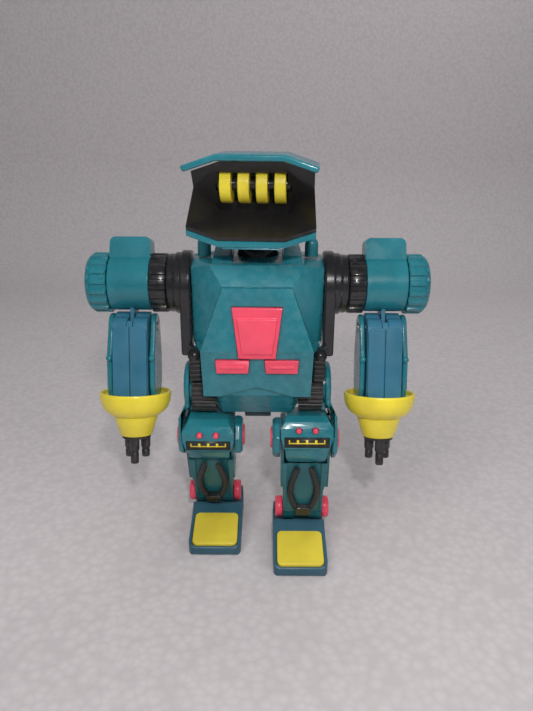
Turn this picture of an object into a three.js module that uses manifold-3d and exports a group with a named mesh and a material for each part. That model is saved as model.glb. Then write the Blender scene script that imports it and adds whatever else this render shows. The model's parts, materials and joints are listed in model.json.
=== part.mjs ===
// A jointed plastic toy robot figure, standing on flat feet.
// Units are millimetres, +Z is up, the figure faces -Y and its own left side is +X.
// Every moving body is a THREE.Group whose origin lies on its joint axis.

import * as THREE from 'three';
import { mergeVertices } from 'three/addons/utils/BufferGeometryUtils.js';
import { ConvexGeometry } from 'three/addons/geometries/ConvexGeometry.js';
import Module from 'manifold-3d';

const wasm = await Module();
wasm.setup();

const FIT = 0.3; // clearance between touching pieces
const DEG = Math.PI / 180;
const RIGHT = -1;
const LEFT = 1;

// ---------------------------------------------------------------- materials

function plastic(color, roughness) {
  return new THREE.MeshStandardMaterial({ color, roughness, metalness: 0 });
}

const teal = plastic(0x25808c, 0.35);
const greyTeal = plastic(0x3a6470, 0.45);
const blue = plastic(0x3c7a95, 0.4);
const black = plastic(0x1c1d20, 0.35);
const mattBlack = plastic(0x2c282a, 0.8);
const yellow = plastic(0xf0de4c, 0.4);
const pink = plastic(0xf0546c, 0.4);
const steel = new THREE.MeshStandardMaterial({ color: 0x9a9da0, roughness: 0.35, metalness: 1 });

// ------------------------------------------------------------ solid helpers

// A closed three.js geometry as a manifold solid with its faces pointing out.
function solid(geometry) {
  const plain = geometry.index ? geometry.toNonIndexed() : geometry.clone();
  plain.deleteAttribute('normal');
  plain.deleteAttribute('uv');
  const merged = mergeVertices(plain, 1e-4);
  const position = merged.attributes.position;
  const corner = [new THREE.Vector3(), new THREE.Vector3(), new THREE.Vector3()];
  const triangles = [];
  let volume = 0;
  for (let i = 0; i < merged.index.count; i += 3) {
    const [a, b, c] = [0, 1, 2].map((k) => merged.index.getX(i + k));
    if (a === b || b === c || a === c) continue;
    triangles.push(a, b, c);
    [a, b, c].forEach((vertex, k) => corner[k].fromBufferAttribute(position, vertex));
    volume += corner[0].dot(corner[1].cross(corner[2]));
  }
  if (volume < 0) triangles.reverse();
  return new wasm.Manifold(new wasm.Mesh({
    numProp: 3,
    vertProperties: new Float32Array(position.array),
    triVerts: new Uint32Array(triangles),
  }));
}

function toGeometry(shape, mirrored) {
  const mesh = shape.getMesh();
  const geometry = new THREE.BufferGeometry();
  geometry.setAttribute('position', new THREE.BufferAttribute(new Float32Array(mesh.vertProperties), 3));
  const triangles = Array.from(mesh.triVerts);
  if (mirrored) {
    geometry.scale(-1, 1, 1);
    triangles.reverse();
  }
  geometry.setIndex(triangles);
  geometry.computeVertexNormals();
  return geometry;
}

// Limb pieces are drawn on the +X side; a piece of the right limb is the mirror image.
function place(group, name, material, shape, side = LEFT) {
  const mesh = new THREE.Mesh(toGeometry(shape, side === RIGHT), material);
  mesh.name = name;
  group.add(mesh);
  return mesh;
}

function joined(...shapes) {
  return shapes.reduce((sum, next) => sum.add(next));
}

function outline(points) {
  return new THREE.Shape(points.map(([a, b]) => new THREE.Vector2(a, b)));
}

// Extrusions: the shape lies in (y, z) for prismX, in (x, z) for prismY.
function prismX(shape, x0, x1, curveSegments = 8) {
  const geometry = new THREE.ExtrudeGeometry(shape, { depth: x1 - x0, bevelEnabled: false, curveSegments });
  const turn = new THREE.Matrix4().makeBasis(
    new THREE.Vector3(0, 1, 0), new THREE.Vector3(0, 0, 1), new THREE.Vector3(1, 0, 0));
  geometry.applyMatrix4(turn);
  geometry.translate(x0, 0, 0);
  return solid(geometry);
}

function prismY(shape, y0, y1, curveSegments = 8) {
  const geometry = new THREE.ExtrudeGeometry(shape, { depth: y1 - y0, bevelEnabled: false, curveSegments });
  geometry.rotateX(Math.PI / 2);
  geometry.translate(0, y1, 0);
  return solid(geometry);
}

function box(x0, x1, y0, y1, z0, z1) {
  const geometry = new THREE.BoxGeometry(x1 - x0, y1 - y0, z1 - z0);
  geometry.translate((x0 + x1) / 2, (y0 + y1) / 2, (z0 + z1) / 2);
  return solid(geometry);
}

// A round rod along X, between x0 and x1, about the line (y, z).
function rodX(radius, x0, x1, y = 0, z = 0, segments = 18) {
  const geometry = new THREE.CylinderGeometry(radius, radius, x1 - x0, segments);
  geometry.rotateZ(Math.PI / 2);
  geometry.translate((x0 + x1) / 2, y, z);
  return solid(geometry);
}

function rodZ(radius, z0, z1, x = 0, y = 0, segments = 18) {
  const geometry = new THREE.CylinderGeometry(radius, radius, z1 - z0, segments);
  geometry.rotateX(Math.PI / 2);
  geometry.translate(x, y, (z0 + z1) / 2);
  return solid(geometry);
}

// A turned piece about X: the profile is a list of [x, radius] that starts and ends on the axis.
function turnedX(profile, y = 0, z = 0, segments = 22) {
  const geometry = new THREE.LatheGeometry(profile.map(([x, r]) => new THREE.Vector2(r, x)), segments);
  geometry.rotateZ(-Math.PI / 2);
  geometry.translate(0, y, z);
  return solid(geometry);
}

// A turned piece about Z: the profile is a list of [z, radius] that starts and ends on the axis.
function turnedZ(profile, x = 0, y = 0, segments = 22) {
  const geometry = new THREE.LatheGeometry(profile.map(([z, r]) => new THREE.Vector2(r, z)), segments);
  geometry.rotateX(Math.PI / 2);
  geometry.translate(x, y, 0);
  return solid(geometry);
}

function ball(radius, x, y, z, segments = 10) {
  const geometry = new THREE.SphereGeometry(radius, segments, segments / 2);
  geometry.translate(x, y, z);
  return solid(geometry);
}

// The convex body around some points, grown outwards from their middle when grow is given.
function hull(points, grow = 0) {
  const middle = points.reduce((sum, p) => sum.add(new THREE.Vector3(...p)), new THREE.Vector3());
  middle.divideScalar(points.length);
  const moved = points.map(([x, y, z]) => new THREE.Vector3(
    x + grow * Math.sign(x - middle.x),
    y + grow * Math.sign(y - middle.y),
    z + grow * Math.sign(z - middle.z)));
  return solid(new ConvexGeometry(moved));
}

// Points given for the +X half, with their mirror images.
function bothSides(points) {
  return points.flatMap(([x, y, z]) => (x === 0 ? [[x, y, z]] : [[x, y, z], [-x, y, z]]));
}

function roundedRectangle(a0, a1, b0, b1, radius) {
  const shape = new THREE.Shape();
  shape.absarc(a1 - radius, b1 - radius, radius, 0, Math.PI / 2);
  shape.absarc(a0 + radius, b1 - radius, radius, Math.PI / 2, Math.PI);
  shape.absarc(a0 + radius, b0 + radius, radius, Math.PI, Math.PI * 1.5);
  shape.absarc(a1 - radius, b0 + radius, radius, Math.PI * 1.5, Math.PI * 2);
  return shape;
}

// A round section with even flutes, for a grip cut along its axis.
function fluted(radius, depth, flutes) {
  const points = [];
  for (let i = 0; i < flutes; i += 1) {
    const step = (2 * Math.PI) / flutes;
    [[0, radius], [0.45, radius], [0.6, radius - depth], [0.85, radius - depth]].forEach(([part, r]) => {
      const angle = (i + part) * step;
      points.push([r * Math.cos(angle), r * Math.sin(angle)]);
    });
  }
  return outline(points);
}

function pivot(parent, x, y, z, turnX = 0, turnZ = 0) {
  const group = new THREE.Group();
  group.position.set(x, y, z);
  group.rotation.set(turnX, 0, turnZ);
  parent.add(group);
  return group;
}

// ------------------------------------------------------- driving dimensions

const FIGURE_HEIGHT = 180;
const SHOULDER_Z = 124;
const HIP = { y: -5, z: 77 };
const NECK_Y = 1;
const HEAD_TURN = -4.5 * DEG;
const ARM_SWING = -15 * DEG;
const THIGH_LENGTH = 24.5;
const SHIN_LENGTH = 40.8;
const ANKLE_Z = 14;
const ANKLE_Y = { [RIGHT]: 3, [LEFT]: -11 };

const AXLE_R = 4; // shoulder axle
const HIP_AXLE_R = 3;
const KNEE_AXLE_R = 2.6;
const ANKLE_PIN_R = 2;
const SOCKET_R = 13.4; // hip socket in the lower chest
const CHEST_SIDE = 28.2; // half width of the flat chest sides
const LEG_X = 22.25; // middle of a knee
const SHIN_X = 21.75; // middle of a shin, a little nearer the other leg
const FOOT_X = 20; // middle of a foot
const ARM_X = 55.4; // middle of a forearm

const robot = new THREE.Group();
const torso = pivot(robot, 0, 0, 0);

// -------------------------------------------------------------------- torso

// The chest is a faceted shell with a proud front panel, a recessed belly and two neck guards.
const shellPoints = bothSides([
  [19.8, -19.7, 136.4], [14.4, -25, 128.8], [24, -15, 101], [CHEST_SIDE, -12, 133.5], [CHEST_SIDE, -11, 101],
  [27.4, -6, 136.3], [12, -8, 137.2], [12, 12, 137.2], [28, 4, 136.3], [20, 14, 132], [CHEST_SIDE, 12, 128],
  [CHEST_SIDE, 13, 100], [22, 18, 104], [16, 17, 126],
]);
const bellyPoints = bothSides([
  [CHEST_SIDE, -11, 101], [CHEST_SIDE, 13, 100], [23.4, -14, 101], [23, -14, 80], [15.8, -23.6, 80],
  [0, -23.8, 84.8], [22, 15, 80], [15.5, 9, 68], [15.5, -16, 68], [16, 17, 104],
]);
const upperPanel = bothSides([
  [14.2, -26, 128.2], [23.9, -26.5, 101], [14.2, -12, 128.2], [23.9, -12, 101],
]);
const lowerPanel = bothSides([
  [23.9, -26.5, 101.2], [23.2, -24.9, 79.8], [23.9, -12, 101.2], [23.2, -14, 79.8],
]);
const guardPoints = [
  [10.2, -17.5, 136], [18.9, -17.5, 136], [10.2, 7, 136], [18.9, 7, 136],
  [10.8, -14, 139.2], [18.4, -14, 139.2], [11.2, -6, 141.6], [18, -6, 141.6],
  [11.8, -1, 142.3], [17.4, -1, 142.3], [11.4, 5.5, 141], [17.8, 5.5, 141],
];
const cavityPoints = bothSides([
  [12, -22.5, 124], [20, -22.5, 102], [24, -6, 127], [24, -6, 102], [16, -8, 132],
  [24.6, 8, 130], [24.6, 10, 101], [20, 15, 104], [14, 14, 124],
]);

function sideStrap(grow) {
  return box(24.6 - grow, 29.4 + grow, -20 - grow, -16.3 + grow, 84.6 - grow, 96 + grow);
}

function strapBall(grow) {
  return ball(3 + grow, 27.4, -17.5, 96);
}

function shoulderPlate() {
  const plateX = 28.6;
  const radius = 14.5;
  const teardrop = new THREE.Shape();
  teardrop.absarc(0, SHOULDER_Z, radius, -0.12 * Math.PI, 1.08 * Math.PI);
  teardrop.lineTo(-15, 95);
  teardrop.lineTo(-10, 93);
  const plate = prismX(teardrop, plateX, 33.5, 10);
  const collar = turnedX([
    [33.4, 0], [33.4, 13.6], [35.8, 13.6], [36.3, 12.9], [38.8, 12.9], [39.4, 12.2], [39.4, 0],
  ], 0, SHOULDER_Z);
  const link = [-17, -13].flatMap((y) => [[26, y, 95], [26, y, 98], [30, y, 96], [30, y, 101]]);
  const ribs = [86, 88.6, 91.2].map((z) => box(24.3, 29.8, -20.4, -16.5, z, z + 1.2));
  return joined(plate, collar, hull(link), strapBall(0), sideStrap(0), ...ribs)
    .subtract(rodX(AXLE_R + FIT, 20, 45, 0, SHOULDER_Z));
}

function mirrored(shape) {
  return solid(toGeometry(shape, true));
}

function chestBody() {
  const guard = hull(guardPoints);
  const chevron = outline([[-15.8, 79.8], [0, 84.4], [15.8, 79.8], [15.8, 70], [-15.8, 70]]);
  const panel = joined(hull(upperPanel), hull(lowerPanel)).subtract(prismY(chevron, -30, -23.6));
  let body = joined(hull(shellPoints), hull(bellyPoints), panel, guard, mirrored(guard))
    .subtract(hull(cavityPoints));
  const cuts = [
    sideStrap(FIT + 0.4),
    strapBall(FIT + 0.3),
    box(25.4, 31, -17.6, -12.4, 94, 101.5),
    rodX(SOCKET_R, 18, 40, HIP.y, HIP.z, 28),
    rodX(AXLE_R + FIT, 0, 40, 0, SHOULDER_Z),
    rodX(HIP_AXLE_R + FIT, -1, 40, HIP.y, HIP.z),
  ];
  cuts.forEach((cut) => {
    body = body.subtract(cut).subtract(mirrored(cut));
  });
  return body.subtract(rodZ(9 + FIT, 131, 145, 0, NECK_Y));
}

const PANEL = { top: 120.5, bottom: 98.3, topHalf: 10.4, bottomHalf: 7.8 };

function panelOutline(grow) {
  return outline([
    [-PANEL.bottomHalf - grow, PANEL.bottom - grow], [PANEL.bottomHalf + grow, PANEL.bottom - grow],
    [PANEL.topHalf + grow, PANEL.top + grow], [-PANEL.topHalf - grow, PANEL.top + grow],
  ]);
}

function barOutline(grow) {
  return outline([
    [3.8 - grow, 91.6 - grow], [17.2 + grow, 91.6 - grow], [17.6 + grow, 97.4 + grow], [3.2 - grow, 97.4 + grow],
  ]);
}

function chestPanel() {
  const raised = outline([[-6.4, 100.6], [6.4, 100.6], [8.3, 116], [-8.3, 116]]);
  return prismY(panelOutline(0), -27.9, -25.6).add(prismY(raised, -28.7, -27.5));
}

function chestBar() {
  return prismY(barOutline(0), -27.5, -25.2).add(box(5.2, 15.4, -28, -27, 93.9, 94.9));
}

function chestHalf(front) {
  const half = front ? box(-40, 40, -40, -FIT / 2, 60, 145) : box(-40, 40, FIT / 2, 40, 60, 145);
  let shell = chestBody().intersect(half);
  if (front) {
    shell = shell.subtract(prismY(panelOutline(FIT), -40, -25.3));
    const barCut = prismY(barOutline(FIT), -40, -24.9);
    shell = shell.subtract(barCut).subtract(mirrored(barCut));
  }
  return shell;
}

place(torso, 'chest_shell_front', teal, chestHalf(true));
place(torso, 'chest_shell_rear', teal, chestHalf(false));
place(torso, 'chest_panel', pink, chestPanel());
place(torso, 'chest_bar_right', pink, chestBar(), RIGHT);
place(torso, 'chest_bar_left', pink, chestBar(), LEFT);

const horn = turnedZ([
  [137, 0], [137, 2.9], [142.2, 2.9], [143.8, 2.4], [144.8, 1.4], [145.2, 0],
], 23.2, -2.5, 16);
place(torso, 'horn_right', teal, horn, RIGHT);
place(torso, 'horn_left', teal, horn, LEFT);
place(torso, 'shoulder_plate_right', black, shoulderPlate(), RIGHT);
place(torso, 'shoulder_plate_left', black, shoulderPlate(), LEFT);
place(torso, 'shoulder_axle', steel, rodX(AXLE_R, -63.5, 63.5, 0, SHOULDER_Z, 20));
place(torso, 'hip_axle', steel, rodX(HIP_AXLE_R, -32.1, 32.1, HIP.y, HIP.z, 16));

const pelvisProfile = outline([[0.5, 57.5], [9, 56.5], [10.5, 60], [10.5, 67.7], [-1.5, 67.7], [-1.5, 60]]);
place(torso, 'pelvis_block', greyTeal, prismX(pelvisProfile, -6.3, 6.3));

const neckDome = turnedZ([
  [131.5, 0], [131.5, 9], [138, 9], [140, 8.2], [141.5, 6.6], [142.6, 4], [142.6, 2.8], [152, 2.8], [152, 0],
], 0, NECK_Y, 24);
place(torso, 'neck_dome', black, neckDome);

// --------------------------------------------------------------------- head
// Head pieces are drawn about the middle of the head, which sits forward of the neck axis.

const HEAD_FORWARD = 7;
const neck = pivot(robot, 0, NECK_Y, 0, 0, HEAD_TURN);
const head = pivot(neck, 0, -HEAD_FORWARD, 0);
const LIP_Y = -24;
const VISOR = { front: -28, rear: 2, thickness: 2.2, flatHalf: 13.2, edgeHalf: 25.9, edgeZ: 175.8 };
const LAMP = { y: -10.2, z: 168.2, ringR: 7.4, ringWidth: 4.5, spindleR: 2.5, pitch: 7.15 };

function visorOutline() {
  const drop = VISOR.thickness * 1.09;
  const top = [[VISOR.flatHalf, FIGURE_HEIGHT], [VISOR.edgeHalf, VISOR.edgeZ]];
  const under = [[VISOR.edgeHalf - 1, VISOR.edgeZ - VISOR.thickness], [VISOR.flatHalf - 0.5, FIGURE_HEIGHT - drop]];
  const half = [...top, ...under];
  return outline([...half, ...half.map(([x, z]) => [-x, z]).reverse()]);
}

// Corner points of the mouth: the wall behind the lamps and the floor that runs out to the lip.
const crease = (drop) => [13.4, -4 + drop, 156.5 - drop];
const notch = (drop) => [24, -12 + drop, 167 - drop * 0.3];
const lipEnd = (drop) => [25.2, LIP_Y, 153.5 - drop];
const lipFlat = (drop) => [13, LIP_Y, 149.4 - drop];

function slab(corners, from, to, grow = 0) {
  return hull([...corners.map((corner) => corner(from)), ...corners.map((corner) => corner(to))], grow);
}

function floorSlabs(from, to) {
  const middle = hull(bothSides([crease(from), lipFlat(from), crease(to), lipFlat(to)]));
  const side = slab([notch, crease, lipEnd], from, to).add(slab([crease, lipFlat, lipEnd], from, to));
  return joined(middle, side, mirrored(side));
}

function wallHull(grow, thickness = 4) {
  const front = [[13.4, -4, 156.5], [24, -12, 167], [24, -16.2, 173.3], [13, -19.4, 177]];
  const underside = [[13.4, -3, 155], [24, -11, 165.6]];
  const behind = [...front, ...underside].map(([x, y, z]) => [x, y + thickness, z]);
  return hull(bothSides([...front, ...underside, ...behind]), grow);
}

function lampTrough(radius, half) {
  return rodX(radius, -half, half, LAMP.y, LAMP.z, 20);
}

const jawRoot = bothSides([
  [11, LIP_Y + 0.3, 144.8], [11, 12, 144.3], [11, 12, 155], [13, -3, 153.6], [13, LIP_Y + 1.5, 148],
]);
const rearPoints = bothSides([
  [22, -9, 166], [22.6, -11, 172.2], [12.8, -14, 176.6], [13, 1, 156], [12, 11, 157],
  [16, 10, 172], [12, 5, 176.6],
]);

place(head, 'head_visor', teal, prismY(visorOutline(), VISOR.front, VISOR.rear));
const lining = floorSlabs(0, 1.3)
  .add(wallHull(0))
  .subtract(lampTrough(LAMP.ringR + 0.4, 13.6))
  .subtract(lampTrough(LAMP.spindleR + FIT, 15));
place(head, 'head_insert', mattBlack, lining);
const jaw = floorSlabs(1.65, 3.8)
  .add(hull(jawRoot))
  .subtract(floorSlabs(-3, 1.6))
  .subtract(wallHull(FIT))
  .subtract(rodZ(2.8 + FIT, 140, 152.4, 0, HEAD_FORWARD));
place(head, 'head_jaw', teal, jaw);
const rear = hull(rearPoints)
  .subtract(wallHull(FIT, 4 + FIT))
  .subtract(floorSlabs(-0.4, 4.2))
  .subtract(hull(jawRoot, FIT))
  .subtract(lampTrough(LAMP.ringR + 0.4, 13.6))
  .subtract(lampTrough(LAMP.spindleR + FIT, 15));
place(head, 'head_rear', teal, rear);
place(head, 'lamp_spindle', black, lampTrough(LAMP.spindleR, 14.6));

const rings = [-1.5, -0.5, 0.5, 1.5].map((n) => rodX(
  LAMP.ringR, n * LAMP.pitch - LAMP.ringWidth / 2, n * LAMP.pitch + LAMP.ringWidth / 2, LAMP.y, LAMP.z, 20));
const ringRail = box(-12.9, 12.9, LAMP.y + 5.2, LAMP.y + 6.4, LAMP.z - 1.5, LAMP.z + 1.5);
place(head, 'lamp_rings', yellow, joined(...rings, ringRail).subtract(lampTrough(LAMP.spindleR + FIT, 20)));

// --------------------------------------------------------------------- arms
// Arm pieces are drawn about the shoulder axis, and forearm pieces about the elbow pin.

const ELBOW_DROP = 19.5;
const FOREARM_CORE_HALF = 7.7;
const LUG_HALF = 0.9;

function armHousing() {
  const drum = rodX(12.2, 46.9, 64.7, 0, 0, 28);
  const fin = prismY(roundedRectangle(46.9, 64.7, 4, 19.9, 2.6), -7, 7, 3)
    .intersect(prismX(outline([[-7, 4], [7, 4], [4.2, 20.2], [-4.2, 20.2]]), 40, 70));
  const lug = prismX(roundedRectangle(-5, 5, -ELBOW_DROP - 5, -8, 4.9), ARM_X - LUG_HALF, ARM_X + LUG_HALF, 4);
  return joined(drum, fin, lug)
    .subtract(rodX(AXLE_R + FIT, 40, 63.8))
    .subtract(rodX(2.2 + FIT, 40, 70, 0, -ELBOW_DROP));
}

function endCap() {
  const grip = prismX(fluted(13.3, 0.8, 18), 65, 72.4);
  const crown = turnedX([[72.3, 0], [72.3, 12.4], [73.4, 11.8], [74.6, 10.2], [74.6, 0]], 0, 0, 24);
  return grip.add(crown);
}

function shoulderBarrel() {
  return prismX(fluted(13.1, 0.8, 18), 39.7, 46.6).subtract(rodX(AXLE_R + FIT, 30, 60));
}

function cheek(inner) {
  const rail = new THREE.Shape();
  rail.absarc(0, 0, 5.9, 0, Math.PI);
  [[-9.5, -12], [-9.5, -26], [-6.4, -32.6], [6.4, -32.6], [9.5, -26], [9.5, -12]]
    .forEach(([y, z]) => rail.lineTo(y, z));
  const near = ARM_X - 10.5;
  const far = ARM_X + 8.1;
  const x0 = inner ? near : far;
  return prismX(rail, x0, x0 + 2.4, 8).subtract(rodX(2.2 + FIT, 40, 70));
}

function forearmCore() {
  const side = new THREE.Shape();
  side.absarc(0, 0, 6.6, 0, 140 * DEG);
  [[-6.3, 4.3], [-8.4, 3.6], [-10, 2.2], [-11, 0.4], [-11, -22], [-10.4, -29], [-5.6, -37.6], [5.6, -37.6], [10.4, -29], [11, -22], [11, -11]]
    .forEach(([y, z]) => side.lineTo(y, z));
  const body = prismX(side, ARM_X - FOREARM_CORE_HALF, ARM_X + FOREARM_CORE_HALF, 9);
  const face = prismY(roundedRectangle(ARM_X - 7.3, ARM_X + 7.3, -29, 0.4, 2.4), -11.9, -10.6, 3);
  const slotHalf = LUG_HALF + FIT + 0.1;
  const lugRoom = box(ARM_X - slotHalf, ARM_X + slotHalf, -5.4, 5.4, 0, 9);
  const slot = joined(...[-18, 10, 38].map((degrees) => lugRoom.rotate([degrees, 0, 0]))).hull()
    .add(rodX(5.6, ARM_X - slotHalf, ARM_X + slotHalf));
  const seam = box(ARM_X - 0.4, ARM_X + 0.4, -13, -11.3, -30, 1);
  return joined(body, face).subtract(slot).subtract(seam).subtract(rodX(2.2 + FIT, 40, 70));
}

function cuff() {
  const bowl = turnedZ([
    [-49.5, 0], [-49.5, 7.2], [-40.2, 10.1], [-40, 10.9], [-38.6, 12.8], [-36.4, 14.6], [-33.6, 15.7], [-30.8, 16],
    [-29.5, 16], [-29.5, 14.8], [-31, 14.5], [-31, 0],
  ], ARM_X, 0, 24);
  const corePocket = outline([[-10, -30.5], [10, -30.5], [5.9, -38], [-5.9, -38]]);
  return bowl
    .subtract(prismX(corePocket, ARM_X - 8, ARM_X + 8))
    .subtract(box(ARM_X - 10.8, ARM_X + 10.8, -7.9, 7.9, -33, -30))
    .subtract(box(ARM_X - 0.5, ARM_X + 0.5, -16.4, -13, -41, -29))
    .subtract(rodZ(4 + FIT, -52, -46.4, ARM_X, 0));
}

function barrelCluster() {
  const spread = 4.3;
  const barrels = [[-90, -62], [30, -60.4], [150, -60.4]].map(([angle, tip]) => {
    const x = ARM_X + spread * Math.cos(angle * DEG);
    const y = spread * Math.sin(angle * DEG);
    return turnedZ([
      [tip, 0], [tip + 0.2, 1.4], [tip + 0.6, 1.85], [-55.6, 1.85], [-55.4, 2.15], [-50, 2.15], [-50, 0],
    ], x, y, 9);
  });
  const base = rodZ(6.5, -50.8, -49.8, ARM_X, 0, 16).add(rodZ(4, -50.6, -46.8, ARM_X, 0, 14));
  return joined(base, ...barrels);
}

function buildArm(side, label) {
  const arm = pivot(robot, 0, 0, SHOULDER_Z, ARM_SWING);
  place(arm, `shoulder_barrel_${label}`, black, shoulderBarrel(), side);
  place(arm, `arm_housing_${label}`, teal, armHousing(), side);
  place(arm, `arm_end_cap_${label}`, teal, endCap(), side);

  const forearm = pivot(arm, 0, 0, -ELBOW_DROP);
  place(forearm, `elbow_pin_${label}`, steel, rodX(2.2, ARM_X - 10.9, ARM_X + 10.9, 0, 0, 14), side);
  place(forearm, `cheek_inner_${label}`, teal, cheek(true), side);
  place(forearm, `cheek_outer_${label}`, teal, cheek(false), side);
  place(forearm, `forearm_core_${label}`, blue, forearmCore(), side);
  place(forearm, `cuff_${label}`, yellow, cuff(), side);

  const barrels = pivot(forearm, side * ARM_X, 0, 0);
  const cluster = place(barrels, `barrel_cluster_${label}`, black, barrelCluster(), side);
  cluster.position.x = -side * ARM_X;
}

buildArm(RIGHT, 'right');
buildArm(LEFT, 'left');

// --------------------------------------------------------------------- legs
// Thigh pieces are drawn about the hip axle, shin pieces about the knee axle and foot
// pieces about the ankle pin.

const KNEE_TILT = 14 * DEG; // the knee housing stands this far back from the thigh's own line
const BALL_R = 11.5;
const EAR_IN = 9.9;
const EAR_OUT = 11.2;

function turnedBack(shape) {
  const geometry = toGeometry(shape, false);
  geometry.rotateX(KNEE_TILT);
  geometry.translate(0, 0, -THIGH_LENGTH);
  return solid(geometry);
}

function thighFrame() {
  const knee = -THIGH_LENGTH;
  const disc = turnedX([[30.9, 0], [30.9, 11], [32.4, 11], [33.4, 10], [33.4, 0]], 0, 0, 24);
  const barrel = rodX(9, 18.4, 31);
  const neck = prismX(outline([[-3.3, 0], [5.6, 0], [5.6, -9.7], [-3.3, -12]]), 19.2, 31.5);
  const lean = prismY(outline([
    [31, 0], [33.2, 0], [33.4, -8], [36.4, -15], [36.4, knee], [34, knee], [34, -12.6], [31, -9],
  ]), -20, 20);
  const plate = prismX(outline([[-9, 0], [9, 0], [8, knee], [-8, knee]]), 30, 38).intersect(lean);
  const kneeDisc = turnedX([[34, 0], [34, 9.4], [35.6, 9.4], [36.7, 8.3], [36.7, 0]], 0, knee, 8);
  return joined(disc, barrel, neck, plate, kneeDisc)
    .subtract(rodX(HIP_AXLE_R + FIT, 0, 32.4))
    .subtract(rodX(KNEE_AXLE_R + FIT, 0, 50, 0, knee));
}

function thighStrap() {
  const inner = 9.4;
  const shape = new THREE.Shape();
  const from = 150 * DEG;
  const ribs = 9;
  const ribAngle = (96 * DEG) / ribs;
  const points = [];
  for (let i = 0; i < ribs; i += 1) {
    [[0, 12.3], [0.3, 13], [0.7, 13], [0.98, 12.3]].forEach(([part, r]) => {
      const angle = from + (i + part) * ribAngle;
      points.push([r * Math.cos(angle), r * Math.sin(angle)]);
    });
  }
  shape.setFromPoints(points.map(([y, z]) => new THREE.Vector2(y, z)));
  shape.absarc(0, 0, inner, from + ribs * ribAngle, from, true);
  return prismX(shape, 18.6, 29.4, 6);
}

const KNEE_FRONT = -12.6;
const STUD = { x: 3.7, z: 7.2, radius: 1.25 };

function kneeStud(x, radius, length, y) {
  return solid(new THREE.CylinderGeometry(radius, radius, length, 12).translate(LEG_X + x, y, STUD.z));
}

function kneeHousing() {
  const core = new THREE.Shape();
  core.absarc(0, 0, BALL_R, -25 * DEG, -160 * DEG, true);
  [[-11.6, -2.4], [KNEE_FRONT, -1.2], [KNEE_FRONT, 8], [-11.2, 10.8], [-7.4, 12.6], [7, 12.6], [10, 8]]
    .forEach(([y, z]) => core.lineTo(y, z));
  const mask = outline([
    [-7.6, -2.4], [-11.6, -2.4], [KNEE_FRONT, -1.2], [KNEE_FRONT, 8], [-11.2, 10.8], [-7.4, 12.6], [7, 12.6],
    [9.6, 8.2], [-7.6, 7.6],
  ]);
  const front = outline([
    [LEG_X - 5.4, -11.6], [LEG_X + 5.4, -11.6], [LEG_X + 7.8, -10], [LEG_X + 9.2, -7], [LEG_X + 9.6, -3], [LEG_X + 11.6, 3.4], [LEG_X + 11.6, 8],
    [LEG_X + 8.8, 12.7], [LEG_X - 8.8, 12.7], [LEG_X - 11.6, 8], [LEG_X - 11.6, 3.4], [LEG_X - 9.6, -3],
    [LEG_X - 9.2, -7], [LEG_X - 7.8, -10],
  ]);
  const narrow = EAR_IN - FIT;
  const shape = prismX(core, LEG_X - narrow, LEG_X + narrow, 9)
    .add(prismX(mask, LEG_X - 11.6, LEG_X + 11.6))
    .intersect(prismY(front, -20, 20));
  const studHoles = [-STUD.x, STUD.x].map((x) => kneeStud(x, STUD.radius + FIT, 6, KNEE_FRONT));
  const bar = box(LEG_X - 5.4, LEG_X + 5.4, -10.3, -8.6, STUD.z - 1.6, STUD.z + 1.6);
  return turnedBack(shape.subtract(joined(...studHoles)).subtract(bar))
    .subtract(rodX(KNEE_AXLE_R + FIT, 0, 50, 0, -THIGH_LENGTH));
}

function kneeStuds() {
  const studs = [-STUD.x, STUD.x].map((x) => kneeStud(x, STUD.radius, 4.2, KNEE_FRONT + 0.8));
  return turnedBack(joined(...studs, box(LEG_X - 5, LEG_X + 5, -10, -8.9, STUD.z - 1.3, STUD.z + 1.3)));
}

function kneeDiscInner() {
  const disc = turnedX([[6.9, 0], [6.9, 8.2], [8, 9.4], [10.6, 9.4], [10.6, 0]], 0, 0, 8);
  return disc.subtract(rodX(KNEE_AXLE_R + FIT, 0, 50));
}

function kneeAxle() {
  return turnedX([
    [6, 0], [6, 4.4], [6.6, 5], [6.6, KNEE_AXLE_R], [37, KNEE_AXLE_R], [37, 5], [37.6, 4.4], [37.6, 0],
  ], 0, 0, 16);
}

const SHIN_HALF = 9.3; // half width of the shin at the ankle

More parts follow.
